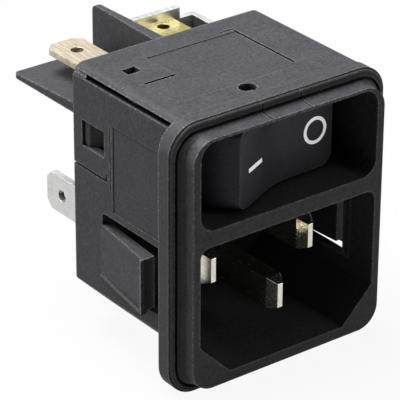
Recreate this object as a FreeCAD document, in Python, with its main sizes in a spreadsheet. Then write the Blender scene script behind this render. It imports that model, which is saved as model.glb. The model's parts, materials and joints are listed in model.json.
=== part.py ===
import FreeCAD, Part
import math
import os
import re
import Sketcher

# Panel inlet socket with a rocker switch above it, snapped into a panel from the front.
# Frame: origin at the centre of the flange's rear face, where it meets the panel.
# X to the right seen from the front, Y back through the panel, Z up. Millimetres, degrees.

# Driving dimensions
SIZES = [
    ("flange_width", 30.2),
    ("flange_height", 33.5),
    ("flange_thick", 2.17),
    ("flange_corner", 3.6),
    ("lip_height", 0.3),
    ("lip_inset", 0.16),
    ("lip_round", 0.25),
    ("bezel_rise", 1.97),
    ("bezel_foot_width", 28.2),
    ("bezel_foot_bottom", 15.7),
    ("bezel_foot_top", 15.5),
    ("bezel_face_width", 26.8),
    ("bezel_face_bottom", 15.6),
    ("bezel_face_top", 15.25),
    ("bezel_corner", 2.8),
    ("bezel_waist", 0.6),
    ("groove_wide", 0.32),
    ("groove_deep", 0.45),
    ("nick_left", 2.55),
    ("nick_right", 2.85),
    ("nick_wide", 0.16),
    ("nick_top", 16.3),
    ("nick_bottom", 15.15),
    ("body_width", 26.88),
    ("body_bottom", 15.3),
    ("body_top", 16.7),
    ("body_depth", 18.3),
    ("wall", 1.04),
    ("shoulder_inside", 0.4),
    ("chamfer_leg", 4.85),
    ("chamfer_round", 0.8),
    ("socket_top", 2.24),
    ("socket_corner", 1.2),
    ("socket_floor", 14.6),
    ("bar_thick", 2.0),
    ("well_height", 10.68),
    ("well_corner", 2.0),
    ("bearing_width", 12.0),
    ("bearing_depth", 9.0),
    ("split_angle", 26.5),
    ("split_gap", 0.6),
    ("split_front", 0.1),
    ("key_front", 16.0),
    ("fit_gap", 0.1),
    ("carrier_thick", 2.2),
    ("slot_top", 0.2),
    ("slot_bottom", 8.3),
    ("slot_back", 12.9),
    ("slot_round", 0.5),
    ("tongue_top", 1.3),
    ("tongue_bottom", 7.8),
    ("tongue_root", 13.3),
    ("tongue_tip", 3.25),
    ("tongue_spring", 1.41),
    ("tongue_thick", 1.65),
    ("window_front", 12.4),
    ("window_back", 16.6),
    ("window_bottom", 7.3),
    ("window_top", 10.45),
    ("hook_thick", 0.9),
    ("hook_land", 0.85),
    ("hook_rise", 0.7),
    ("pin_width", 2.0),
    ("pin_height", 4.0),
    ("pin_pitch", 14.0),
    ("pin_level", 3.95),
    ("pin_tip", 0.55),
    ("pin_taper", 1.4),
    ("pin_tip_width", 0.66),
    ("pin_tip_height", 3.0),
    ("earth_drop", 4.05),
    ("earth_ahead", 3.3),
    ("rivet_radius", 0.8),
    ("sheet_thick", 0.8),
    ("tab_width", 4.8),
    ("tab_tip", 28.8),
    ("tab_chamfer", 0.9),
    ("tab_hole_radius", 0.75),
    ("tab_hole_inset", 3.1),
    ("side_tab_out", 10.2),
    ("foot_in", 5.6),
    ("earth_tab_level", 12.4),
    ("earth_tab_tip", 27.0),
    ("strap_back", 26.3),
    ("strap_inner", 0.5),
    ("strap_step", 7.55),
    ("strap_crown", 15.5),
    ("strap_top", 14.1),
    ("strap_stand", 0.3),
    ("strap_knee", 4.0),
    ("strap_waist", 22.0),
    ("terminal_top", 14.25),
    ("out_blade_middle", 7.7),
    ("in_blade_middle", 4.3),
    ("leg_bottom", 7.8),
    ("leg_depth", 2.2),
    ("pivot_back", 5.1),
    ("rocker_radius", 10.7),
    ("rocker_vertex", 5.0),
    ("rocker_slope", 11.7),
    ("rocker_blend", 9.0),
    ("rocker_tilt", 13.5),
    ("rocker_gap", 0.38),
    ("rocker_wall", 1.2),
    ("rocker_skirt", 1.0),
    ("rocker_corner", 1.5),
    ("hub_width", 5.2),
    ("hub_back", 3.0),
    ("stub_radius", 1.2),
    ("stub_reach", 0.9),
    ("running_gap", 0.05),
    ("plunger_radius", 1.4),
    ("plunger_reach", 7.2),
    ("plunger_nose", 1.2),
    ("plunger_head", 1.0),
    ("bore_bottom", 1.5),
    ("spring_radius", 1.05),
    ("spring_wire", 0.15),
    ("spring_turns", 3.0),
    ("bridge_gap", 0.1),
    ("bridge_thick", 0.5),
    ("bridge_width", 3.8),
    ("bridge_arm", 5.8),
    ("bridge_bend", 6.0),
    ("contact_radius", 1.3),
    ("contact_thick", 0.6),
    ("contact_at", 4.4),
    ("contact_shank", 0.6),
    ("base_front", 9.4),
    ("base_width", 21.8),
    ("base_wall", 1.2),
    ("fin_reach", 12.7),
    ("fin_thick", 1.5),
    ("fin_tip", 0.7),
    ("fin_middle", 1.45),
    ("fin_bottom", 4.5),
    ("fin_corner", 0.8),
    ("shelf_bottom", 10.5),
    ("shelf_top", 11.75),
    ("shelf_tip", 11.05),
    ("shelf_reach", 12.5),
    ("shelf_inset", 0.2),
    ("label_left", 10.2),
    ("label_front", 3.1),
    ("label_step_x", 5.9),
    ("label_step_y", 9.1),
    ("label_back", 14.65),
    ("label_sink", 0.08),
    ("label_round", 0.8),
    ("line_wide", 0.2),
    ("line_deep", 0.45),
    ("line_right", 6.75),
    ("line_front", 4.0),
    ("line_back", 15.2),
    ("line_return", 1.65),
    ("hole_left", 10.15),
    ("hole_width", 1.82),
    ("hole_front", 12.2),
    ("hole_length", 1.4),
    ("vent_x", 1.6),
    ("vent_y", 1.7),
    ("vent_radius", 1.05),
    ("panel_front", 2.3),
    ("panel_back", 10.7),
    ("panel_top", 11.8),
    ("panel_bottom", 1.1),
    ("seam_back", 11.15),
    ("seam_bottom", 3.5),
    ("seam_top", 11.5),
    ("seam_wide", 0.15),
    ("seam_deep", 0.3),
    ("flap_level", 4.56),
    ("flap_gap", 0.24),
    ("flap_front", 11.9),
    ("flap_hook", 0.85),
]

os.makedirs("parts", exist_ok=True)
doc = FreeCAD.newDocument("PanelInlet")
sheet = doc.addObject("Spreadsheet::Sheet", "Size")
for row, (alias, number) in enumerate(SIZES, start=1):
    sheet.set("A%d" % row, alias)
    sheet.set("B%d" % row, str(number))
    sheet.setAlias("B%d" % row, alias)
doc.recompute()
ALIASES = {alias for alias, number in SIZES}


# Expressions name sizes by their alias alone
def bound(text):
    def link(word):
        return "Size." + word.group() if word.group() in ALIASES else word.group()
    return re.sub(r"[a-z][a-z_]*", link, text)


def value(text):
    return float(sheet.evalExpression(bound(text)))


# Sketches and features
PLANES = {"XY": ("XY_Plane", 1), "XZ": ("XZ_Plane", -1), "YZ": ("YZ_Plane", 1)}


def new_body(name):
    body = doc.addObject("PartDesign::Body", name)
    body.Label = name
    return body


def new_sketch(body, plane, level):
    role, sense = PLANES[plane]
    sketch = body.newObject("Sketcher::SketchObject", body.Label + "_sketch")
    origin_plane = [item for item in body.Origin.OriginFeatures if item.Role == role][0]
    sketch.AttachmentSupport = (origin_plane, [""])
    sketch.MapMode = "FlatFace"
    sketch.setExpression("AttachmentOffset.Base.z", bound("%d * (%s)" % (sense, level)))
    return sketch


def pin_down(sketch, geometry, point, x_text, y_text):
    for kind, axis, text in (("DistanceX", -2, x_text), ("DistanceY", -1, y_text)):
        if text == "0":
            sketch.addConstraint(Sketcher.Constraint("PointOnObject", geometry, point, axis))
        else:
            rule = Sketcher.Constraint(kind, -1, 1, geometry, point, value(text))
            sketch.setExpression("Constraints[%d]" % sketch.addConstraint(rule), bound(text))


def draw_circle(sketch, x_text, y_text, radius_text):
    centre = FreeCAD.Vector(value(x_text), value(y_text), 0)
    ring = Part.Circle(centre, FreeCAD.Vector(0, 0, 1), value(radius_text))
    index = sketch.addGeometry(ring, False)
    pin_down(sketch, index, 3, x_text, y_text)
    rule = sketch.addConstraint(Sketcher.Constraint("Radius", index, value(radius_text)))
    sketch.setExpression("Constraints[%d]" % rule, bound(radius_text))


def corner_arc(before, corner, after, radius):
    first = (before - corner).normalize()
    second = (after - corner).normalize()
    half_angle = first.getAngle(second) / 2
    inlet = corner + first * (radius / math.tan(half_angle))
    outlet = corner + second * (radius / math.tan(half_angle))
    centre = corner + (first + second).normalize() * (radius / math.sin(half_angle))
    left_turn = first.cross(second).z < 0
    start, end = (inlet, outlet) if left_turn else (outlet, inlet)
    start_angle = math.atan2(start.y - centre.y, start.x - centre.x)
    end_angle = math.atan2(end.y - centre.y, end.x - centre.x)
    circle = Part.Circle(centre, FreeCAD.Vector(0, 0, 1), radius)
    return inlet, outlet, left_turn, Part.ArcOfCircle(circle, start_angle, end_angle)


def draw_outline(sketch, corners):
    """Closed outline from sharp corners (x, y) or (x, y, rounding radius), as expressions."""
    marks = [FreeCAD.Vector(value(corner[0]), value(corner[1]), 0) for corner in corners]
    count = len(corners)
    inlets = list(marks)
    outlets = list(marks)
    arcs = {}
    for i, corner in enumerate(corners):
        if len(corner) == 3:
            inlets[i], outlets[i], left_turn, arc = corner_arc(
                marks[i - 1], marks[i], marks[(i + 1) % count], value(corner[2]))
            arcs[i] = (sketch.addGeometry(arc, False), left_turn)
    lines = []
    for i in range(count):
        line = Part.LineSegment(outlets[i], inlets[(i + 1) % count])
        lines.append(sketch.addGeometry(line, False))
    for i, corner in enumerate(corners):
        line_in = lines[i - 1]
        line_out = lines[i]
        if i not in arcs:
            sketch.addConstraint(Sketcher.Constraint("Coincident", line_in, 2, line_out, 1))
            pin_down(sketch, line_out, 1, corner[0], corner[1])
            continue
        arc, left_turn = arcs[i]
        near, far = (1, 2) if left_turn else (2, 1)
        sketch.addConstraint(Sketcher.Constraint("Tangent", line_in, 2, arc, near))
        sketch.addConstraint(Sketcher.Constraint("Tangent", arc, far, line_out, 1))
        rule = sketch.addConstraint(Sketcher.Constraint("Radius", arc, value(corner[2])))
        sketch.setExpression("Constraints[%d]" % rule, bound(corner[2]))
        sharp = sketch.addGeometry(Part.Point(marks[i]), True)
        pin_down(sketch, sharp, 1, corner[0], corner[1])
        sketch.addConstraint(Sketcher.Constraint("PointOnObject", sharp, 1, line_in))
        sketch.addConstraint(Sketcher.Constraint("PointOnObject", sharp, 1, line_out))


def draw(sketch, shapes):
    for shape in shapes:
        if isinstance(shape[0], str):
            draw_circle(sketch, *shape)
        else:
            draw_outline(sketch, shape)


# A pad or pocket runs from start to end along the axis across its plane
def add(body, plane, start, end, *shapes):
    sketch = new_sketch(body, plane, start)
    draw(sketch, shapes)
    pad = body.newObject("PartDesign::Pad", body.Label + "_pad")
    pad.Profile = sketch
    pad.setExpression("Length", bound("(%s) - (%s)" % (end, start)))
    pad.Reversed = PLANES[plane][1] < 0
    return pad


def cut(body, plane, start, end, *shapes):
    sketch = new_sketch(body, plane, start)
    draw(sketch, shapes)
    pocket = body.newObject("PartDesign::Pocket", body.Label + "_pocket")
    pocket.Profile = sketch
    pocket.setExpression("Length", bound("(%s) - (%s)" % (end, start)))
    pocket.Reversed = PLANES[plane][1] > 0
    return pocket


def loft(body, plane, sections):
    sketches = []
    for level, corners in sections:
        sketches.append(new_sketch(body, plane, level))
        draw(sketches[-1], [corners])
    feature = body.newObject("PartDesign::AdditiveLoft", body.Label + "_loft")
    feature.Profile = sketches[0]
    feature.Sections = sketches[1:]
    feature.Ruled = True
    return feature


def round_edges(body, radius, wanted, kind="Fillet"):
    """Round or chamfer the edges of the body so far for which wanted(edge) is true."""
    doc.recompute()
    tip = body.Tip
    names = ["Edge%d" % i for i, edge in enumerate(tip.Shape.Edges, start=1) if wanted(edge)]
    feature = body.newObject("PartDesign::" + kind, body.Label + "_" + kind.lower())
    feature.Base = (tip, names)
    feature.setExpression("Radius" if kind == "Fillet" else "Size", bound(radius))
    return feature


def box_corners(left, right, bottom, top, radius=None):
    corners = [(left, bottom), (right, bottom), (right, top), (left, top)]
    return [corner + ((radius,) if radius else ()) for corner in corners]


def centred(middle, width):
    return "%s - %s / 2" % (middle, width), "%s + %s / 2" % (middle, width)


def mirrored(corners):
    flipped = [("-(%s)" % corner[0],) + tuple(corner[1:]) for corner in corners]
    return flipped[::-1]


# Outlines that several pieces share, set in from the outside by an amount
CHAMFER_SHARE = "(sqrt(2) - 1)"
SIDE = "(body_width / 2 - wall)"
SHOULDER = "(wall + shoulder_inside)"
WELL_BOTTOM = "(socket_top + bar_thick)"
WELL_TOP = "(socket_top + bar_thick + well_height)"
REAR_SEAT = "(socket_floor + carrier_thick)"
FACE = "(-flange_thick - bezel_rise)"


def lower_corners(inset):
    """Left to right along the chamfered bottom."""
    side = "body_width / 2 - (%s)" % inset
    foot = "body_width / 2 - chamfer_leg - (%s) * %s" % (inset, CHAMFER_SHARE)
    start = "chamfer_leg - body_bottom + (%s) * %s" % (inset, CHAMFER_SHARE)
    return [("-(%s)" % side, start, "chamfer_round"), ("-(%s)" % foot, "(%s) - body_bottom" % inset),
            (foot, "(%s) - body_bottom" % inset), (side, start, "chamfer_round")]


def body_outline(inset, top_inset):
    side = "body_width / 2 - (%s)" % inset
    top = "body_top - (%s)" % top_inset
    radius = "%s - (%s)" % (SHOULDER, inset)
    return lower_corners(inset) + [(side, top, radius), ("-(%s)" % side, top, radius)]


def socket_outline(inset):
    side = "body_width / 2 - (%s)" % inset
    top = "socket_top - (%s) + wall" % inset
    return lower_corners(inset) + [(side, top, "socket_corner"), ("-(%s)" % side, top, "socket_corner")]


def split_point(radius, sense, inset):
    """A point on one edge of the shoulder's slit; sense 1 is the edge nearer the top."""
    half = "(split_gap / 2 - (%s)) / %s * 180 / pi" % (inset, SHOULDER)
    angle = "((split_angle + %s * %s) * 1deg)" % (sense, half)
    x_text = "body_width / 2 - %s + (%s) * cos(%s)" % (SHOULDER, radius, angle)
    z_text = "body_top - %s + (%s) * sin(%s)" % (SHOULDER, radius, angle)
    return x_text, z_text


def shoulder_slit(inner_radius, outer_radius, inset):
    return [split_point(inner_radius, "-1", inset), split_point(outer_radius, "-1", inset),
            split_point(outer_radius, "1", inset), split_point(inner_radius, "1", inset)]


# Front housing: bezel, flange, socket shroud, switch well and both snap tongues
def make_front_housing():
    body = new_body("front_housing")
    flange = box_corners("-flange_width / 2", "flange_width / 2",
                         "-flange_height / 2", "flange_height / 2", "flange_corner")
    foot = box_corners("-bezel_foot_width / 2", "bezel_foot_width / 2",
                       "-bezel_foot_bottom", "bezel_foot_top", "bezel_corner")
    face = box_corners("-bezel_face_width / 2", "bezel_face_width / 2",
                       "-bezel_face_bottom", "bezel_face_top", "bezel_corner")
    lip = box_corners("lip_inset - flange_width / 2", "flange_width / 2 - lip_inset",
                      "lip_inset - flange_height / 2", "flange_height / 2 - lip_inset", "flange_corner")
    waist = box_corners("bezel_waist - bezel_foot_width / 2", "bezel_foot_width / 2 - bezel_waist",
                        "-bezel_foot_bottom", "bezel_foot_top - bezel_waist / 4", "bezel_corner")
    around = box_corners("-bezel_foot_width / 2 - groove_wide", "bezel_foot_width / 2 + groove_wide",
                         "-bezel_foot_bottom - groove_wide", "bezel_foot_top + groove_wide",
                         "bezel_corner + groove_wide")
    add(body, "XZ", "lip_height - flange_thick", "0", flange)
    add(body, "XZ", "-flange_thick", "lip_height - flange_thick", lip)
    front = value("-flange_thick")
    round_edges(body, "lip_round",
                lambda edge: all(abs(v.Y - front) < 1e-6 for v in edge.Vertexes))
    cut(body, "XZ", "-flange_thick", "groove_deep - flange_thick", around, foot)
    loft(body, "XZ", [("-flange_thick", foot), ("-flange_thick - bezel_rise / 3", waist), (FACE, face)])
    nicks = [box_corners(*centred(middle, "nick_wide"), "nick_bottom", "nick_top")
             for middle in ("-nick_left", "nick_right")]
    cut(body, "XZ", FACE, "groove_deep - flange_thick", *nicks)
    add(body, "XZ", "0", "body_depth", body_outline("0", "0"))
    cut(body, "XZ", FACE, "body_depth", socket_outline("wall"))
    well = box_corners("-" + SIDE, SIDE, WELL_BOTTOM, WELL_TOP, "well_corner")
    cut(body, "XZ", FACE, "0", well)
    behind = [("-" + SIDE, WELL_BOTTOM), (SIDE, WELL_BOTTOM),
              (SIDE, "body_top - wall", "shoulder_inside"),
              ("-" + SIDE, "body_top - wall", "shoulder_inside")]
    cut(body, "XZ", "0", "body_depth", behind)
    slit = shoulder_slit("shoulder_inside * 3 / 4", SHOULDER + " + wall", "0")
    cut(body, "XZ", "split_front", "body_depth", slit, mirrored(slit))
    bearing = box_corners("-bearing_width / 2", "bearing_width / 2", WELL_TOP, "body_top - wall / 2")
    add(body, "XZ", "-flange_thick / 2", "bearing_depth", bearing)
    cut(body, "XZ", REAR_SEAT, "body_depth", body_outline("wall", "wall"))
    make_tongues(body)
    window = box_corners("window_front", "window_back", "window_bottom", "window_top")
    cut(body, "YZ", "-body_width / 2", "body_width / 2", window)
    bearing_hole = ("0", "pivot_back", "stub_radius + running_gap")
    cut(body, "XY", WELL_BOTTOM + " - stub_reach", WELL_TOP + " + stub_reach", bearing_hole)
    mark_top(body)
    mark_sides(body)
    return body


# Top wall: sunken label area, square hole, round vent and two fine lines
def mark_top(body):
    label = [("-label_left", "label_front", "label_round"), ("line_right", "label_front"),
             ("line_right", "label_back"), ("-label_step_x", "label_back"),
             ("-label_step_x", "label_step_y"), ("-label_left", "label_step_y")]
    cut(body, "XY", "body_top - label_sink", "body_top", label)
    level = "body_top - line_deep"
    right = [("line_right", "line_front"), ("line_right + line_wide", "line_front"),
             ("line_right + line_wide", "line_back + line_wide"),
             ("line_right - line_return", "line_back + line_wide"),
             ("line_right - line_return", "line_back"), ("line_right", "line_back")]
    left = box_corners("-label_left", "-label_step_x", "label_step_y", "label_step_y + line_wide")
    cut(body, "XY", level, "body_top", right, left)
    hole = box_corners("-hole_left", "hole_width - hole_left", "hole_front", "hole_front + hole_length")
    cut(body, "XY", "body_top - 2 * wall", "body_top", hole)
    cut(body, "XY", "body_top - wall", "body_top", ("-vent_x", "vent_y", "vent_radius"))


# Side walls: sunken label panel, upright seam, and the slit under the upper flap
def mark_sides(body):
    outer = "body_width / 2"
    panel = box_corners("panel_front", "panel_back", "panel_bottom", "panel_top")
    seam = box_corners("seam_back", "seam_back + seam_wide", "seam_bottom", "seam_top")
    for shape, deep in ((panel, "label_sink"), (seam, "seam_deep")):
        cut(body, "YZ", "%s - %s" % (outer, deep), outer, shape)
        cut(body, "YZ", "-" + outer, "%s - %s" % (deep, outer), shape)
    low, high = centred("flap_level", "flap_gap")
    slit = [("flap_front", low), ("body_depth", low), ("body_depth", high),
            ("flap_front + flap_gap", high), ("flap_front + flap_gap", "flap_level + flap_hook"),
            ("flap_front", "flap_level + flap_hook")]
    cut(body, "YZ", "-" + outer, outer, slit)


def make_tongues(body):
    slot = [("0", "-slot_bottom"), ("slot_back", "-slot_bottom", "slot_round"),
            ("slot_back", "slot_top", "slot_round"), ("0", "slot_top")]
    cut(body, "YZ", "-body_width / 2", "body_width / 2", slot)
    outer = "body_width / 2"
    spread = "body_width / 2 + tongue_spring"
    tongue = [(outer + " - wall", "tongue_root"), (spread + " - tongue_thick", "tongue_tip"),
              (spread, "tongue_tip"), (outer, "tongue_root")]
    for corners in (tongue, mirrored(tongue)):
        add(body, "XY", "-tongue_bottom", "-tongue_top", corners)


# Pin carrier: the floor of the socket
def make_pin_carrier():
    body = new_body("pin_carrier")
    add(body, "XZ", "socket_floor", REAR_SEAT, socket_outline("wall + fit_gap"))
    holes = []
    for middle, level in PINS.values():
        left, right = centred(middle, "(pin_width + 2 * running_gap)")
        bottom, top = centred(level, "(pin_height + 2 * running_gap)")
        holes.append(box_corners(left, right, bottom, top))
    cut(body, "XZ", "socket_floor", REAR_SEAT, *holes)
    return body


# Contact pins
PINS = {
    "neutral_pin": ("-pin_pitch / 2", "-pin_level"),
    "line_pin": ("pin_pitch / 2", "-pin_level"),
    "earth_pin": ("0 * pin_pitch", "-(pin_level + earth_drop)"),
}


def make_pin(name):
    body = new_body(name)
    middle, level = PINS[name]
    tip = "pin_tip - earth_ahead" if name == "earth_pin" else "pin_tip"
    shoulder = box_corners(*centred(middle, "pin_width"), *centred(level, "pin_height"))
    end = box_corners(*centred(middle, "pin_tip_width"), *centred(level, "pin_tip_height"))
    loft(body, "XZ", [(tip + " + pin_taper", shoulder), (tip, end)])
    add(body, "XZ", tip + " + pin_taper", REAR_SEAT, shoulder)
    add(body, "XZ", REAR_SEAT, REAR_SEAT + " + sheet_thick", (middle, level, "rivet_radius"))
    return body


# Tabs and terminals folded from sheet
def blade_outline(low, high, start, tip):
    """Blade along Y between two sides, with clipped tip corners."""
    return [(low, start), (high, start), (high, tip + " - tab_chamfer"),
            (high + " - tab_chamfer", tip), (low + " + tab_chamfer", tip),
            (low, tip + " - tab_chamfer")]


def turned(corners):
    """The same outline with its two directions swapped."""
    return [(corner[1], corner[0]) + tuple(corner[2:]) for corner in corners][::-1]


def make_neutral_tab():
    body = new_body("neutral_tab")
    low, high = centred("-pin_level", "tab_width")
    foot = box_corners("-side_tab_out", "-foot_in", low, high)
    add(body, "XZ", REAR_SEAT, REAR_SEAT + " + sheet_thick", foot)
    blade = turned(blade_outline("(%s)" % low, "(%s)" % high, REAR_SEAT, "tab_tip"))
    add(body, "YZ", "-side_tab_out", "sheet_thick - side_tab_out", blade)
    middle, level = PINS["neutral_pin"]
    cut(body, "XZ", REAR_SEAT, REAR_SEAT + " + sheet_thick", (middle, level, "rivet_radius"))
    hole = ("tab_tip - tab_hole_inset", "-pin_level", "tab_hole_radius")
    cut(body, "YZ", "-side_tab_out", "sheet_thick - side_tab_out", hole)
    return body


def make_earth_tab():
    body = new_body("earth_tab")
    left, right = centred("0 * pin_pitch", "tab_width")
    top = "rivet_radius * 2 - pin_level - earth_drop"
    add(body, "XZ", REAR_SEAT, REAR_SEAT + " + sheet_thick",
        box_corners(left, right, "-earth_tab_level", top))
    blade = blade_outline("(%s)" % left, "(%s)" % right, REAR_SEAT, "earth_tab_tip")
    add(body, "XY", "-earth_tab_level", "sheet_thick - earth_tab_level", blade)
    middle, level = PINS["earth_pin"]
    cut(body, "XZ", REAR_SEAT, REAR_SEAT + " + sheet_thick", (middle, level, "rivet_radius"))
    hole = ("0", "earth_tab_tip - tab_hole_inset", "tab_hole_radius")
    cut(body, "XY", "-earth_tab_level", "sheet_thick - earth_tab_level", hole)
    return body


def make_line_strap():
    body = new_body("line_strap")
    low, high = centred("-pin_level", "tab_width")
    foot = box_corners("foot_in", "side_tab_out", low, high)
    add(body, "XZ", REAR_SEAT, REAR_SEAT + " + sheet_thick", foot)
    rear = "(strap_back + sheet_thick)"
    rise = "(%s - strap_waist)" % rear
    wing = [(REAR_SEAT, low), ("strap_waist", low), ("strap_waist", "strap_knee"),
            (rear, "strap_knee + " + rise), (rear, "strap_top"),
            ("body_depth + strap_stand", "strap_top"), ("body_depth + strap_stand", high),
            (REAR_SEAT, high)]
    add(body, "YZ", "side_tab_out - sheet_thick", "side_tab_out", wing)
    plate = [("-strap_inner", "strap_knee + " + rise), ("side_tab_out", "strap_knee + " + rise),
             ("side_tab_out", "strap_top"), ("strap_step", "strap_top"),
             ("strap_step", "strap_crown"), ("-strap_inner", "strap_crown")]
    add(body, "XZ", "strap_back", rear, plate)
    middle, level = PINS["line_pin"]
    cut(body, "XZ", REAR_SEAT, REAR_SEAT + " + sheet_thick", (middle, level, "rivet_radius"))
    return body


# Switch terminals: blades above the switch base, with legs down into it
BLADE_BOTTOM = "(terminal_top - sheet_thick)"
FULCRUM = "(pivot_back + plunger_reach + bridge_gap + bridge_thick)"
FIXED_FACE = "(%s + contact_thick + bridge_gap)" % FULCRUM
LEG_FRONT = "(%s + contact_thick)" % FIXED_FACE
SWITCH_LEVEL = "(%s + well_height / 2)" % WELL_BOTTOM


def make_out_terminal():
    body = new_body("switch_out_terminal")
    left, right = centred("-out_blade_middle", "tab_width")
    start = "(%s + bridge_gap)" % FULCRUM
    corners = blade_outline("(%s)" % left, "(%s)" % right, start, "tab_tip")
    arm_end = "sheet_thick / 2"
    arm = [(corners[0][0], start), (arm_end, start), (arm_end, start + " + leg_depth"),
           (corners[1][0], start + " + leg_depth")]
    add(body, "XY", BLADE_BOTTOM, "terminal_top", arm + corners[2:])
    leg = box_corners("-sheet_thick / 2", arm_end, start, start + " + leg_depth")
    add(body, "XY", "leg_bottom", BLADE_BOTTOM, leg)
    hole = ("-out_blade_middle", "tab_tip - tab_hole_inset", "tab_hole_radius")
    cut(body, "XY", BLADE_BOTTOM, "terminal_top", hole)
    return body


def make_in_terminal():
    body = new_body("switch_in_terminal")
    left, right = centred("in_blade_middle", "tab_width")
    blade = box_corners(left, right, LEG_FRONT, "strap_back")
    add(body, "XY", BLADE_BOTTOM, "terminal_top", blade)
    leg = box_corners(left, right, LEG_FRONT, LEG_FRONT + " + sheet_thick")
    add(body, "XY", "leg_bottom", BLADE_BOTTOM, leg)
    hole = ("in_blade_middle", "strap_back - tab_hole_radius - sheet_thick / 2", "tab_hole_radius")
    cut(body, "XY", BLADE_BOTTOM, "terminal_top", hole)
    rivet_hole = ("contact_at", SWITCH_LEVEL, "contact_shank")
    cut(body, "XZ", LEG_FRONT, LEG_FRONT + " + sheet_thick", rivet_hole)
    return body


def make_fixed_contact():
    body = new_body("fixed_contact")
    add(body, "XZ", FIXED_FACE, LEG_FRONT, ("contact_at", SWITCH_LEVEL, "contact_radius"))
    add(body, "XZ", LEG_FRONT, LEG_FRONT + " + sheet_thick",
        ("contact_at", SWITCH_LEVEL, "contact_shank"))
    return body


# Switch base: the tray under the rocker that carries both terminals
def make_switch_base():
    body = new_body("switch_base")
    floor = WELL_BOTTOM + " + fit_gap"
    roof = BLADE_BOTTOM + " - fit_gap"
    add(body, "XZ", "base_front", REAR_SEAT + " - fit_gap",
        box_corners("-base_width / 2", "base_width / 2", floor, roof))
    inside = box_corners("-bridge_arm - base_wall", "bridge_arm + base_wall",
                         floor + " + base_wall", roof + " - base_wall / 2")
    cut(body, "XZ", "base_front", LEG_FRONT + " + sheet_thick + fit_gap", inside)
    out_slot = box_corners("-sheet_thick / 2 - fit_gap", "sheet_thick / 2 + fit_gap",
                           "%s" % FULCRUM, FULCRUM + " + bridge_gap + leg_depth + fit_gap")
    left, right = centred("in_blade_middle", "(tab_width + 2 * fit_gap)")
    in_slot = box_corners(left, right, LEG_FRONT + " - fit_gap",
                          LEG_FRONT + " + sheet_thick + fit_gap")
    cut(body, "XY", "leg_bottom - fit_gap", roof, out_slot, in_slot)
    return body


# Rear cover: the plate that closes the back, with its barrier fins and two side hooks
def make_rear_cover():
    body = new_body("rear_cover")
    add(body, "XZ", REAR_SEAT, "body_depth", body_outline("wall + fit_gap", "wall + fit_gap"))
    fin = [("-fin_middle - fin_thick / 2", "body_depth"), ("fin_thick / 2 - fin_middle", "body_depth"),
           ("fin_tip / 2 - fin_middle", "body_depth + fin_reach"),
           ("-fin_middle - fin_tip / 2", "body_depth + fin_reach")]
    add(body, "XY", "fin_bottom", "body_top", fin)
    shelf = [("body_depth", "shelf_bottom"), ("body_depth + shelf_reach", "shelf_bottom"),
             ("body_depth + shelf_reach", "shelf_tip"), ("body_depth", "shelf_top")]
    add(body, "YZ", "-" + SIDE, "-fin_middle", shelf)
    rim = [("body_depth + fit_gap", "shelf_bottom")] + shelf[1:3] + [("body_depth + fit_gap", "shelf_top")]
    add(body, "YZ", "shelf_inset - body_width / 2", "-" + SIDE, rim)
    rear = value("body_depth + shelf_reach") - 0.1
    round_edges(body, "fin_corner",
                lambda edge: all(v.Y > rear for v in edge.Vertexes) and corner_of_fin(edge))
    grown_tab = "(tab_width + 2 * fit_gap)"
    low, high = centred("-pin_level", grown_tab)
    inner = "(side_tab_out - sheet_thick - fit_gap)"
    outer = "(side_tab_out + fit_gap)"
    slots = [box_corners("-" + outer, "-" + inner, low, high), box_corners(inner, outer, low, high)]
    left, right = centred("0 * pin_pitch", grown_tab)
    slots.append(box_corners(left, right, "-earth_tab_level - fit_gap",
                             "sheet_thick + fit_gap - earth_tab_level"))
    for middle in ("-out_blade_middle", "in_blade_middle"):
        left, right = centred(middle, grown_tab)
        slots.append(box_corners(left, right, BLADE_BOTTOM + " - fit_gap", "terminal_top + fit_gap"))
    cut(body, "XZ", REAR_SEAT, "body_depth", *slots)
    left, right = centred("0 * pin_pitch", grown_tab)
    earth_top = "rivet_radius * 2 - pin_level - earth_drop + fit_gap"
    pockets = [box_corners("-" + inner, "fit_gap - foot_in", low, high),
               box_corners("foot_in - fit_gap", inner, low, high),
               box_corners(left, right, "sheet_thick + fit_gap - earth_tab_level", earth_top)]
    cut(body, "XZ", REAR_SEAT, REAR_SEAT + " + sheet_thick", *pockets)
    key = shoulder_slit("shoulder_inside / 2", SHOULDER + " - fit_gap", "fit_gap / 2")
    for corners in (key, mirrored(key)):
        add(body, "XZ", "key_front", "body_depth", corners)
    arm_out = "(%s - fit_gap)" % SIDE
    catch = "(%s + hook_rise)" % SIDE
    nose = "window_back - fit_gap - hook_land"
    hook = [(arm_out + " - hook_thick", REAR_SEAT),
            (arm_out + " - hook_thick", nose + " - hook_rise - hook_thick - fit_gap"),
            (catch, nose), (catch, "window_back - fit_gap"), (arm_out, "window_back - fit_gap"),
            (arm_out, REAR_SEAT)]
    for corners in (hook[::-1], mirrored(hook[::-1])):
        add(body, "XY", "window_bottom + fit_gap", "window_top - fit_gap", corners)
    return body


def corner_of_fin(edge):
    """The outer corners of both fins, seen from behind."""
    middle = edge.CenterOfMass
    top_of_fin = middle.z > value("body_top") - 0.01
    side_of_shelf = middle.x < value("shelf_inset - body_width / 2") + 0.01
    return top_of_fin or side_of_shelf


# Rocker, modelled about its pivot at mid travel and then tilted to the off position
def tilt_body(body, pivot, angle):
    body.setExpression("Placement.Base.y", bound(pivot))
    body.Placement.Rotation = FreeCAD.Rotation(FreeCAD.Vector(0, 0, 1), 1)
    body.setExpression("Placement.Rotation.Angle", bound(angle))


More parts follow.
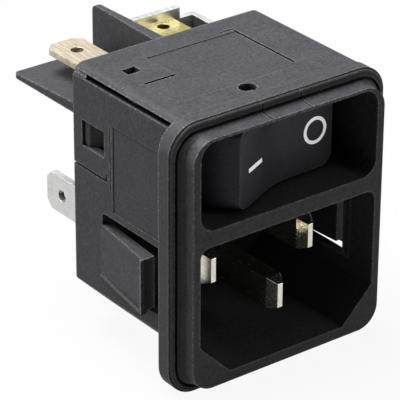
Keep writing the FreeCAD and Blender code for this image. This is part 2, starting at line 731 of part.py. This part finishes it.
def make_rocker():
    body = new_body("rocker")
    bottom = "(%s + rocker_gap)" % WELL_BOTTOM
    top = "(%s - rocker_gap)" % WELL_TOP
    rise = "rocker_radius * tan(rocker_slope * 1deg)"
    faces = [("-rocker_radius", "-rocker_vertex - " + rise), ("0", "-rocker_vertex", "rocker_blend"),
             ("rocker_radius", "-rocker_vertex - " + rise), ("rocker_radius", "-rocker_skirt"),
             ("-rocker_radius", "-rocker_skirt")]
    add(body, "XY", bottom, top, faces)
    frame = box_corners("-2 * rocker_radius", "2 * rocker_radius",
                        "-2 * rocker_radius", "2 * rocker_radius")
    cut(body, "XY", bottom, top, frame, ("0", "0", "rocker_radius"))
    round_edges(body, "rocker_corner", is_apron_corner)
    inner_end = "(rocker_radius - rocker_wall) * cos((2 * rocker_slope + 22) * 1deg)"
    drop = "%s * tan(rocker_slope * 1deg)" % inner_end
    room = [("-" + inner_end, "rocker_wall - rocker_vertex - " + drop),
            ("0", "rocker_wall - rocker_vertex"),
            (inner_end, "rocker_wall - rocker_vertex - " + drop),
            (inner_end, "-rocker_skirt"), ("-" + inner_end, "-rocker_skirt")]
    cut(body, "XY", bottom + " + rocker_wall", top + " - rocker_wall", room)
    hub = box_corners("-hub_width / 2", "hub_width / 2", "rocker_wall / 4 - rocker_vertex", "hub_back")
    add(body, "XY", bottom, top, hub)
    add(body, "XY", WELL_BOTTOM + " - stub_reach + running_gap",
        WELL_TOP + " + stub_reach - running_gap", ("0", "0", "stub_radius"))
    bore = ("0", SWITCH_LEVEL, "plunger_radius + running_gap")
    cut(body, "XZ", "-bore_bottom", "hub_back", bore)
    tilt_body(body, "pivot_back", "rocker_tilt")
    return body


def is_apron_corner(edge):
    """Edges between the rocker's curved ends and its flat sides."""
    curved = isinstance(edge.Curve, Part.Circle)
    return curved and abs(edge.Curve.Radius - value("rocker_radius")) < 1e-6


def make_plunger():
    body = new_body("plunger")
    sketch = new_sketch(body, "XY", SWITCH_LEVEL)
    draw(sketch, [[("0", "plunger_head"), ("plunger_radius", "plunger_head"),
                   ("plunger_radius", "plunger_reach", "plunger_nose"), ("0", "plunger_reach")]])
    turn = body.newObject("PartDesign::Revolution", "plunger_turn")
    turn.Profile = sketch
    turn.ReferenceAxis = (sketch, ["V_Axis"])
    turn.Angle = 360
    tilt_body(body, "pivot_back", "rocker_tilt")
    return body


def make_plunger_spring():
    body = new_body("plunger_spring")
    sketch = new_sketch(body, "XY", SWITCH_LEVEL)
    wire_level = "spring_wire + running_gap - bore_bottom"
    wire = [("spring_radius + spring_wire * cos(%d deg)" % angle,
             "%s + spring_wire * sin(%d deg)" % (wire_level, angle)) for angle in range(0, 360, 90)]
    draw(sketch, [wire])
    coil = body.newObject("PartDesign::AdditiveHelix", "spring_coil")
    coil.Profile = sketch
    coil.ReferenceAxis = (sketch, ["V_Axis"])
    coil.Mode = "height-turns-angle"
    coil.setExpression("Height", bound("bore_bottom + plunger_head - 2 * (spring_wire + running_gap)"))
    coil.setExpression("Turns", bound("spring_turns"))
    tilt_body(body, "pivot_back", "rocker_tilt")
    return body


# Contact bridge: a shallow V of strip that seesaws on the out terminal's leg
def make_contact_bridge():
    body = new_body("contact_bridge")
    rise = "bridge_arm * tan(bridge_bend * 1deg)"
    strip = [("-bridge_arm", "-bridge_thick - " + rise), ("0", "-bridge_thick"),
             ("bridge_arm", "-bridge_thick - " + rise), ("bridge_arm", "-" + rise),
             ("0", "0"), ("-bridge_arm", "-" + rise)]
    low, high = centred(SWITCH_LEVEL, "bridge_width")
    add(body, "XY", low, high, strip)
    tilt_body(body, FULCRUM, "-bridge_bend")
    return body


def make_moving_contact():
    body = new_body("moving_contact")
    add(body, "XZ", "0", "contact_thick", ("contact_at", SWITCH_LEVEL, "contact_radius"))
    tilt_body(body, FULCRUM, "-2 * bridge_bend")
    return body


MAKERS = [make_front_housing, make_rear_cover, make_pin_carrier, make_switch_base,
          make_neutral_tab, make_earth_tab, make_line_strap, make_out_terminal, make_in_terminal,
          make_fixed_contact, make_rocker, make_plunger, make_plunger_spring,
          make_contact_bridge, make_moving_contact]
pieces = [maker() for maker in MAKERS] + [make_pin(name) for name in PINS]
doc.recompute()

for item in doc.Objects:
    if "Invalid" in item.State or "Error" in item.State:
        raise RuntimeError("%s did not build: %s" % (item.Label, item.State))
for piece in pieces:
    if piece.Shape.isNull() or not piece.Shape.isValid() or not piece.Shape.Solids:
        raise RuntimeError("%s has no valid solid" % piece.Label)
for piece in pieces:
    piece.Shape.exportStep("parts/%s.step" % piece.Label)
    box = piece.Shape.BoundBox
    print("%-20s solids %d volume %9.3f  X %7.2f %7.2f  Y %7.2f %7.2f  Z %7.2f %7.2f" % (
        piece.Label, len(piece.Shape.Solids), piece.Shape.Volume,
        box.XMin, box.XMax, box.YMin, box.YMax, box.ZMin, box.ZMax))
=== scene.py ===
import json
import math

import bmesh
import bpy
from mathutils import Matrix, Vector
from mathutils.bvhtree import BVHTree


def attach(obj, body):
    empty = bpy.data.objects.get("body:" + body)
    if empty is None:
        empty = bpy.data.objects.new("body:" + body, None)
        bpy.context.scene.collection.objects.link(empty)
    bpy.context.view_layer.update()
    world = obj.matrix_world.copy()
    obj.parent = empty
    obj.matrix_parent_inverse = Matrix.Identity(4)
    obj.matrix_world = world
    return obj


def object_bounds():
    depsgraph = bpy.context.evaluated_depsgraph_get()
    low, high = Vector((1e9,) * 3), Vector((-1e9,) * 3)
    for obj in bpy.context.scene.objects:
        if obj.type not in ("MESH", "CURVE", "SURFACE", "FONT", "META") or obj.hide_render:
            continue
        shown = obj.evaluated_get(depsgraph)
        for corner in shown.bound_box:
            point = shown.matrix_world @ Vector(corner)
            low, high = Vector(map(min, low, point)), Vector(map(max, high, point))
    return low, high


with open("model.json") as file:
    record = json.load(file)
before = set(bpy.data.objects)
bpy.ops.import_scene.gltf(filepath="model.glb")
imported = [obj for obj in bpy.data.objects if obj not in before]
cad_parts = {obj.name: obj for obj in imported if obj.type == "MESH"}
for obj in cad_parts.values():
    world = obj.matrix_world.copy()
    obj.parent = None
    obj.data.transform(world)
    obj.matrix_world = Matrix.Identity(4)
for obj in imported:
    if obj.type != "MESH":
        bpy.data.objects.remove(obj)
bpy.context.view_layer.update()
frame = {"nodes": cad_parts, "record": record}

MM = 0.001


# Camera: where the photograph was taken from, in the object's own frame
CAMERA_PLACE = Vector((-166.64, -205.67, 138.65)) * MM
CAMERA_TURN = 37.4        # degrees from the front, towards the object's left side
CAMERA_DROP = 27.15       # degrees down
CAMERA_ROLL = 0.31        # degrees
CAMERA_LENS = 239.13      # mm
CAMERA_SENSOR = 36.0      # mm


def camera_axes():
    """Right, up and back of the camera, in the object's frame."""
    turn, drop, roll = (math.radians(a) for a in (CAMERA_TURN, CAMERA_DROP, CAMERA_ROLL))
    back = Vector((-math.sin(turn) * math.cos(drop), -math.cos(turn) * math.cos(drop), math.sin(drop)))
    right = (-back).cross(Vector((0, 0, 1))).normalized()
    right = math.cos(roll) * right - math.sin(roll) * right.cross(back)
    return right, back.cross(right), back


def place_camera():
    right, up, back = camera_axes()
    lens = bpy.data.cameras.new("photo_camera")
    lens.lens = CAMERA_LENS
    lens.sensor_width = CAMERA_SENSOR
    lens.clip_start = 0.01
    lens.clip_end = 20
    camera = bpy.data.objects.new("photo_camera", lens)
    rows = Matrix((right, up, back)).transposed().to_4x4()
    camera.matrix_world = Matrix.Translation(CAMERA_PLACE) @ rows
    bpy.context.scene.collection.objects.link(camera)
    bpy.context.scene.camera = camera


# Studio: pale floor, pale room, soft lamps
def add_lamp(name, place, size, power, colour=(1, 1, 1)):
    """A round soft lamp at place (metres) that looks at the object, of size metres and power watts."""
    lamp = bpy.data.lights.new(name, "AREA")
    lamp.shape = "DISK"
    lamp.size = size
    lamp.energy = power
    lamp.color = colour
    holder = bpy.data.objects.new(name, lamp)
    holder.location = place
    holder.rotation_euler = (-Vector(place)).to_track_quat("-Z", "Y").to_euler()
    bpy.context.scene.collection.objects.link(holder)


def white_for_the_eye(nodes, links, shader, white_shader):
    """The mix of a lit shader with plain white, where the camera, gloss or glass looks at it."""
    path = nodes.new("ShaderNodeLightPath")
    seen = nodes.new("ShaderNodeMath")
    seen.operation = "MAXIMUM"
    links.new(path.outputs["Is Camera Ray"], seen.inputs[0])
    links.new(path.outputs["Is Glossy Ray"], seen.inputs[1])
    through = nodes.new("ShaderNodeMath")
    through.operation = "MAXIMUM"
    links.new(seen.outputs[0], through.inputs[0])
    links.new(path.outputs["Is Transmission Ray"], through.inputs[1])
    mix = nodes.new("ShaderNodeMixShader")
    links.new(shader, mix.inputs[1])
    links.new(white_shader, mix.inputs[2])
    return mix, through.outputs[0]


ROOM_LIGHT = 0.04         # what the room gives the object
ROOM_WHITE = 1.0          # what the room looks like
FLOOR_WHITE = 0.93        # how much of the floor's look is plain white
FLOOR_COLOUR = (0.24, 0.24, 0.24, 1)     # what the floor throws back onto the object
FLOOR_SIZE = 4            # metres


def make_room():
    world = bpy.data.worlds.new("pale_room")
    world.use_nodes = True
    nodes, links = world.node_tree.nodes, world.node_tree.links
    nodes.clear()
    lit = nodes.new("ShaderNodeBackground")
    lit.inputs["Strength"].default_value = ROOM_LIGHT
    plain = nodes.new("ShaderNodeBackground")
    plain.inputs["Strength"].default_value = ROOM_WHITE
    mix, seen = white_for_the_eye(nodes, links, lit.outputs[0], plain.outputs[0])
    links.new(seen, mix.inputs[0])
    out = nodes.new("ShaderNodeOutputWorld")
    links.new(mix.outputs[0], out.inputs["Surface"])
    bpy.context.scene.world = world


def make_floor():
    bpy.ops.mesh.primitive_plane_add(size=FLOOR_SIZE, location=(0, 0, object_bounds()[0][2]))
    floor = bpy.context.object
    floor.name = "floor"
    material = bpy.data.materials.new("pale_floor")
    material.use_nodes = True
    nodes, links = material.node_tree.nodes, material.node_tree.links
    nodes.clear()
    matt = nodes.new("ShaderNodeBsdfDiffuse")
    matt.inputs["Color"].default_value = FLOOR_COLOUR
    glow = nodes.new("ShaderNodeEmission")
    mix, seen = white_for_the_eye(nodes, links, matt.outputs[0], glow.outputs[0])
    share = nodes.new("ShaderNodeMath")
    share.operation = "MULTIPLY"
    share.inputs[1].default_value = FLOOR_WHITE
    links.new(seen, share.inputs[0])
    links.new(share.outputs[0], mix.inputs[0])
    out = nodes.new("ShaderNodeOutputMaterial")
    links.new(mix.outputs[0], out.inputs["Surface"])
    floor.data.materials.append(material)


def light_the_studio():
    add_lamp("top_softbox", (-0.10, 0.22, 0.60), 0.45, 18.5, (0.92, 0.91, 1.0))
    add_lamp("left_softbox", (-0.56, 0.30, 0.20), 0.40, 3.0)
    add_lamp("front_softbox", (0.34, -0.56, 0.26), 0.36, 2.4)
    bpy.context.scene.view_settings.view_transform = "Standard"


# Shader groups that several finishes share
def new_group(name, inputs, outputs):
    """A shader group with (name, kind, start value) inputs and (name, kind) outputs."""
    group = bpy.data.node_groups.new(name, "ShaderNodeTree")
    for label, kind, start in inputs:
        socket = group.interface.new_socket(name=label, in_out="INPUT", socket_type=kind)
        socket.default_value = start
    for label, kind in outputs:
        group.interface.new_socket(name=label, in_out="OUTPUT", socket_type=kind)
    return group, group.nodes.new("NodeGroupInput"), group.nodes.new("NodeGroupOutput")


def join(tree, kind, operation=None, **settings):
    """A new node with some inputs filled, by socket number or name; a linked value is an output socket."""
    node = tree.nodes.new(kind)
    if operation:
        node.operation = operation
    for key, content in settings.items():
        place = int(key[1:]) if key[0] == "i" and key[1:].isdigit() else key.replace("_", " ")
        if isinstance(content, bpy.types.NodeSocket):
            tree.links.new(content, node.inputs[place])
        else:
            node.inputs[place].default_value = content
    return node


def calc(tree, operation, *values):
    """The output of a math node on up to three values."""
    return join(tree, "ShaderNodeMath", operation, **{"i%d" % i: v for i, v in enumerate(values)}).outputs[0]


def map_range(tree, value, low, high, to_low, to_high):
    node = join(tree, "ShaderNodeMapRange", i0=value, i1=low, i2=high, i3=to_low, i4=to_high)
    return node.outputs[0]


def noise(tree, place, scale, detail, roughness=0.5):
    node = join(tree, "ShaderNodeTexNoise", Vector=place, Scale=scale, Detail=detail, Roughness=roughness)
    return node.outputs["Fac"]


MIX_SHARE, MIX_FIRST, MIX_SECOND, MIX_RESULT = 0, 6, 7, 2      # a mix node's sockets for colours


def blend_colours(tree, share, first, second):
    blend = tree.nodes.new("ShaderNodeMix")
    blend.data_type = "RGBA"
    for number, content in ((MIX_SHARE, share), (MIX_FIRST, first), (MIX_SECOND, second)):
        tree.links.new(content, blend.inputs[number])
    return blend.outputs[MIX_RESULT]


SKIN_OUTPUTS = [
    ("Colour", "NodeSocketColor"),
    ("Roughness", "NodeSocketFloat"),
    ("Height", "NodeSocketFloat")]


def make_edge_group():
    """Edge: 1 along an outer edge, where handling rubs it and where a painted highlight is laid. Crease: 1
    deep in a corner or a groove; it carries painted shade on mouldings and tarnish on metal.
    """
    group, source, sink = new_group("edge_and_crease", [
        ("Edge Width", "NodeSocketFloat", 0.34 * MM),
        ("Crease Reach", "NodeSocketFloat", 1.4 * MM)],
        [("Edge", "NodeSocketFloat"), ("Crease", "NodeSocketFloat")])
    thin = join(group, "ShaderNodeAmbientOcclusion", Distance=source.outputs["Edge Width"])
    thin.inside = True
    thin.only_local = True
    thin.samples = 8
    open_sky = join(group, "ShaderNodeAmbientOcclusion", Distance=source.outputs["Crease Reach"])
    open_sky.samples = 6
    bent = map_range(group, thin.outputs["AO"], 0.90, 0.62, 0.0, 1.0)
    outer = map_range(group, open_sky.outputs["AO"], 0.55, 0.80, 0.0, 1.0)
    group.links.new(calc(group, "MULTIPLY", bent, outer), sink.inputs["Edge"])
    group.links.new(map_range(group, open_sky.outputs["AO"], 0.92, 0.35, 0.0, 1.0), sink.inputs["Crease"])
    return group


def make_moulded_group(edges):
    """Spark-eroded moulding skin: fine grain, broad flow marks, painted shade in creases, and pale edges
    that are partly rubbed wear and partly painted highlight.
    """
    group, source, sink = new_group("moulded_skin", [
        ("Colour", "NodeSocketColor", (0.025, 0.025, 0.025, 1)),
        # the pale edge colour below, and its share further down, are partly rubbed wear and partly painted
        # highlight
        ("RubbedHighlight", "NodeSocketColor", (0.17, 0.17, 0.17, 1)),
        ("Grain Size", "NodeSocketFloat", 0.36),
        ("Mottle", "NodeSocketFloat", 0.10),
        ("Speck", "NodeSocketFloat", 0.36),
        ("Roughness", "NodeSocketFloat", 0.5),
        ("WearHighlight", "NodeSocketFloat", 0.5),
        ("Crease Shade", "NodeSocketFloat", 0.6)], SKIN_OUTPUTS)
    given = source.outputs
    place = group.nodes.new("ShaderNodeTexCoord").outputs["Object"]
    marks = join(group, "ShaderNodeGroup")
    marks.node_tree = edges

    grain = noise(group, place, calc(group, "DIVIDE", 1 / MM, given["Grain Size"]), 3.0, 0.65)
    flow = map_range(group, noise(group, place, 0.22 / MM, 4.0, 0.55), 0.3, 0.7, -1.0, 1.0)
    edge_breakup = map_range(group, noise(group, place, 4.5 / MM, 4.0, 0.7), 0.48, 0.60, 0.10, 1.0)
    speck = map_range(group, grain, 0.3, 0.7, -1.0, 1.0)

    lift = calc(group, "MULTIPLY_ADD", speck, given["Speck"], calc(group, "MULTIPLY", flow, given["Mottle"]))
    # Painted shade: the colour darkens deep in creases, corners and grooves, by the Crease Shade share.
    shade = calc(group, "MULTIPLY", marks.outputs["Crease"], given["Crease Shade"])
    level = calc(group, "SUBTRACT", 1.0, shade)
    factor = calc(group, "MULTIPLY_ADD", lift, level, level)
    tint = join(group, "ShaderNodeVectorMath", "SCALE", i0=given["Colour"], Scale=factor).outputs[0]
    # Painted highlight and wear: outer edges blend towards the pale edge colour, broken up by noise.
    wear_and_highlight = calc(group, "MULTIPLY", calc(group, "MULTIPLY", marks.outputs["Edge"], edge_breakup), given["WearHighlight"])
    skin = blend_colours(group, wear_and_highlight, tint, given["RubbedHighlight"])

    dull = calc(group, "MULTIPLY_ADD", flow, 0.06, given["Roughness"])
    group.links.new(skin, sink.inputs["Colour"])
    group.links.new(calc(group, "MULTIPLY_ADD", wear_and_highlight, -0.12, dull), sink.inputs["Roughness"])
    group.links.new(grain, sink.inputs["Height"])
    return group


ROLLING_LINES = (9.0 / MM, 0.35 / MM, 9.0 / MM)     # noise per metre across, along and across the strip


def make_sheet_metal_group(edges):
    """Rolled and plated strip: fine rolling lines along one direction, soft stains, tarnish in corners."""
    group, source, sink = new_group("plated_sheet", [
        ("Colour", "NodeSocketColor", (0.8, 0.8, 0.8, 1)),
        ("Stain", "NodeSocketColor", (0.5, 0.45, 0.35, 1)),
        ("Stain Share", "NodeSocketFloat", 0.3),
        ("Roughness", "NodeSocketFloat", 0.25)], SKIN_OUTPUTS)
    given = source.outputs
    place = group.nodes.new("ShaderNodeTexCoord").outputs["Object"]
    marks = join(group, "ShaderNodeGroup")
    marks.node_tree = edges

    drawn = join(group, "ShaderNodeVectorMath", "MULTIPLY", i0=place, i1=ROLLING_LINES).outputs[0]
    lines = noise(group, drawn, 1.0, 2.0)
    patch = map_range(group, noise(group, place, 0.8 / MM, 6.0, 0.7), 0.42, 0.66, 0.0, 1.0)
    stain = calc(group, "MULTIPLY", patch, given["Stain Share"])
    tarnish = calc(group, "MULTIPLY", marks.outputs["Crease"], 0.7)
    plate = blend_colours(group, calc(group, "MAXIMUM", stain, tarnish), given["Colour"], given["Stain"])

    rub = map_range(group, lines, 0.3, 0.7, -0.07, 0.09)
    dull = calc(group, "ADD", calc(group, "MULTIPLY_ADD", stain, 0.2, rub), given["Roughness"])
    group.links.new(plate, sink.inputs["Colour"])
    group.links.new(dull, sink.inputs["Roughness"])
    group.links.new(lines, sink.inputs["Height"])
    return group


BUMP_DEPTH = 0.02 * MM


def finish_from(group, name, metallic, bump, edge_radius, gloss=0.5, **values):
    """A finish with its colour, roughness and bump from a group, and edges softened by edge_radius mm."""
    material = bpy.data.materials.new(name)
    material.use_nodes = True
    tree = material.node_tree
    shader = tree.nodes["Principled BSDF"]
    skin = tree.nodes.new("ShaderNodeGroup")
    skin.node_tree = group
    for label, content in values.items():
        skin.inputs[label.replace("_", " ")].default_value = content
    soft = join(tree, "ShaderNodeBevel", Radius=edge_radius * MM)
    soft.samples = 6
    rough = join(tree, "ShaderNodeBump", Height=skin.outputs["Height"], Normal=soft.outputs[0],
                 Strength=bump, Distance=BUMP_DEPTH)
    tree.links.new(skin.outputs["Colour"], shader.inputs["Base Color"])
    tree.links.new(skin.outputs["Roughness"], shader.inputs["Roughness"])
    tree.links.new(rough.outputs[0], shader.inputs["Normal"])
    shader.inputs["Metallic"].default_value = metallic
    shader.inputs["Specular IOR Level"].default_value = gloss
    return material


def make_finishes():
    edges = make_edge_group()
    moulded = make_moulded_group(edges)
    plated = make_sheet_metal_group(edges)
    # The pale edge colour and its share are partly wear and partly painted highlight; Crease_Shade darkens
    # creases as painted shade.
    black = dict(Colour=(0.0245, 0.0245, 0.025, 1), RubbedHighlight=(0.17, 0.17, 0.168, 1), Grain_Size=0.36,
                 Mottle=0.10, Speck=0.36, Roughness=0.50, WearHighlight=0.5, Crease_Shade=0.6)
    rocker = {**black, "Colour": (0.021, 0.021, 0.0235, 1), "Roughness": 0.36, "Speck": 0.22}
    plunger = {**black, "Colour": (0.028, 0.028, 0.030, 1), "WearHighlight": 0.1}
    ink = {**black, "Colour": (0.93, 0.93, 0.95, 1), "Roughness": 0.45, "Speck": 0.03, "Mottle": 0.02,
           "WearHighlight": 0.0, "Crease_Shade": 0.1}
    return {
        "black_moulding": finish_from(moulded, "black_moulding", 0.0, 0.8, 0.08, 0.08, **black),
        "rocker_black": finish_from(moulded, "rocker_black", 0.0, 0.45, 0.20, 0.09, **rocker),
        "plunger_moulding": finish_from(moulded, "plunger_moulding", 0.0, 0.3, 0.05, 0.4, **plunger),
        "nickel": finish_from(plated, "nickel", 1.0, 0.06, 0.08, Colour=(0.70, 0.68, 0.58, 1),
                              Stain=(0.30, 0.28, 0.20, 1), Stain_Share=0.2, Roughness=0.17),
        "tin": finish_from(plated, "tin", 1.0, 0.12, 0.06, Colour=(0.58, 0.58, 0.57, 1),
                           Stain=(0.36, 0.36, 0.32, 1), Stain_Share=0.5, Roughness=0.32),
        "pale_tin": finish_from(plated, "pale_tin", 1.0, 0.25, 0.06, Colour=(0.60, 0.54, 0.41, 1),
                                Stain=(0.27, 0.21, 0.12, 1), Stain_Share=0.75, Roughness=0.30),
        "brass": finish_from(plated, "brass", 1.0, 0.2, 0.06, Colour=(0.47, 0.41, 0.145, 1),
                             Stain=(0.30, 0.26, 0.08, 1), Stain_Share=0.6, Roughness=0.26),
        "contact_silver": finish_from(plated, "contact_silver", 1.0, 0.1, 0.05,
                                      Colour=(0.9, 0.89, 0.87, 1), Roughness=0.2),
        "spring_steel": finish_from(plated, "spring_steel", 1.0, 0.1, 0.02,
                                    Colour=(0.55, 0.55, 0.56, 1), Roughness=0.3),
        "white_print": finish_from(moulded, "white_print", 0.0, 0.1, 0.02, 0.4, **ink),
    }


PALE_NODES = {"switch_out_terminal": "pale_tin"}      # the record calls it tin; in the photo it is tanned


def dress_nodes(finishes):
    slots = {part["node"]: part["material_slot"] for part in frame["record"]["subparts"]}
    for name, node in frame["nodes"].items():
        finish = finishes[PALE_NODES.get(name, slots[name])]
        node.data.materials.clear()
        node.data.materials.append(finish)


def piece_from(mesh, name, finish, body):
    """The piece that a bmesh makes, riding on a body."""
    bmesh.ops.recalc_face_normals(mesh, faces=mesh.faces)
    data = bpy.data.meshes.new(name)
    mesh.to_mesh(data)
    mesh.free()
    piece = bpy.data.objects.new(name, data)
    bpy.context.scene.collection.objects.link(piece)
    data.materials.append(finish)
    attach(piece, body)


# Switch marks, laid on the rocker's own surface
MARK_LIFT = 0.02 * MM


def surface_of(node):
    mesh = frame["nodes"][node].data
    return BVHTree.FromPolygons([v.co for v in mesh.vertices], [p.vertices for p in mesh.polygons])


def lay_strip(name, surface, path, half_width, closed, finish):
    """A printed line along a path of (x, z) points, as a thin raised strip where they meet the rocker."""
    mesh = bmesh.new()
    rows = []
    count = len(path)
    for i, point in enumerate(path):
        after = path[(i + 1) % count] if closed or i < count - 1 else point
        before = path[i - 1] if closed or i else point
        along = Vector((after[0] - before[0], after[1] - before[1])).normalized()
        row = []
        for sense in (half_width, -half_width):
            start = Vector((point[0] - sense * along.y, -1, point[1] + sense * along.x))
            place, normal, _, _ = surface.ray_cast(start, Vector((0, 1, 0)))
            row.append(mesh.verts.new(place + normal * MARK_LIFT))
            row.append(mesh.verts.new(place - normal * MARK_LIFT))
        rows.append(row)
    for i in range(count if closed else count - 1):
        a, b = rows[i], rows[(i + 1) % count]
        for j, k in ((0, 2), (2, 3), (3, 1), (1, 0)):
            mesh.faces.new((a[j], a[k], b[k], b[j]))
    if not closed:
        mesh.faces.new([rows[0][i] for i in (0, 1, 3, 2)])
        mesh.faces.new([rows[-1][i] for i in (0, 2, 3, 1)])
    piece_from(mesh, name, finish, "switch_rocker")


RING_CENTRE = (7.13 * MM, 9.46 * MM)
RING_RADIUS = 1.47 * MM
RING_HALF_WIDTH = 0.21 * MM
RING_STEPS = 64
BAR_CENTRE = (-3.12 * MM, 8.95 * MM)
BAR_LENGTH = 2.92 * MM
BAR_HALF_WIDTH = 0.27 * MM
BAR_STEPS = 8


def make_switch_marks(finish):
    rocker = surface_of("rocker")
    turns = [2 * math.pi * i / RING_STEPS for i in range(RING_STEPS)]
    ring = [(RING_CENTRE[0] + RING_RADIUS * math.cos(turn), RING_CENTRE[1] + RING_RADIUS * math.sin(turn))
            for turn in turns]
    bar = [(BAR_CENTRE[0] + BAR_LENGTH * (i / BAR_STEPS - 0.5), BAR_CENTRE[1]) for i in range(BAR_STEPS + 1)]
    lay_strip("off_mark", rocker, ring, RING_HALF_WIDTH, True, finish)
    lay_strip("on_mark", rocker, bar, BAR_HALF_WIDTH, False, finish)


# Small raised parts of the mouldings
def add_prism(name, outline, side, levels, finish):
    """A prism on an outline of (x, y) points in mm, x times side, between two levels of Z."""
    mesh = bmesh.new()
    rings = [[mesh.verts.new((side * x * MM, y * MM, z * MM)) for x, y in outline] for z in levels]
    mesh.faces.new(rings[0])
    mesh.faces.new(rings[1])
    for i in range(len(outline)):
        j = (i + 1) % len(outline)
        mesh.faces.new((rings[0][i], rings[0][j], rings[1][j], rings[1][i]))
    piece_from(mesh, name, finish, "inlet")


TONGUE_TIP = (14.85, 3.27)       # outer corner of a tongue's tip (x, y), mm, just behind its end face
TONGUE_ROOT = (13.44, 13.3)      # where its outer face meets the wall
RIM_PROUD = 0.23                 # how far the rims stand out from the tongue's outer face
RIM_DEEP = 0.6                   # how far they reach into it
RIM_BROAD = 0.4                  # the front rim's width along the tongue
RIM_LEVELS = (-7.78, -1.32)
LEDGE_LEVELS = (-8.2, -7.75)
WEB = [(13.44, 0.0), (12.40, 0.0), (12.40, 1.2)]      # the slanted web at the front of a tongue's slot
WEB_LEVELS = (-8.3, 0.2)


def make_tongue_details(finish):
    """What the wedge of each tongue carries: a raised front rim and lower ledge, and a web in its slot."""
    tip_x, tip_y = TONGUE_TIP
    root_x, root_y = TONGUE_ROOT
    back_x = tip_x - RIM_BROAD * (tip_x - root_x) / (root_y - tip_y)
    back_y = tip_y + RIM_BROAD
    front_edge = [(tip_x - RIM_DEEP, tip_y), (tip_x + RIM_PROUD, tip_y)]
    rim = front_edge + [(back_x + RIM_PROUD, back_y), (back_x - RIM_DEEP, back_y)]
    ledge = front_edge + [(root_x + 0.05, root_y), (root_x - RIM_DEEP, root_y)]
    for side, word in ((-1, "left"), (1, "right")):
        add_prism(word + "_tongue_rim", rim, side, RIM_LEVELS, finish)
        add_prism(word + "_tongue_ledge", ledge, side, LEDGE_LEVELS, finish)
        add_prism(word + "_slot_web", WEB, side, WEB_LEVELS, finish)


VENT_DISK_CENTRE = Vector((-1.20, 1.28, 15.96)) * MM
VENT_DISK_RADIUS = 0.72 * MM
VENT_DISK_THICK = 0.30 * MM


def make_vent_disk(finish):
    """The round vent is mostly closed by a disk, which leaves a crescent open at its back."""
    bpy.ops.mesh.primitive_cylinder_add(vertices=64, radius=VENT_DISK_RADIUS, depth=VENT_DISK_THICK,
                                        location=VENT_DISK_CENTRE)
    disk = bpy.context.object
    disk.name = "vent_disk"
    disk.data.materials.append(finish)
    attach(disk, "inlet")


place_camera()
make_room()
make_floor()
light_the_studio()
finishes = make_finishes()
dress_nodes(finishes)
make_switch_marks(finishes["white_print"])
make_tongue_details(finishes["black_moulding"])
make_vent_disk(finishes["black_moulding"])
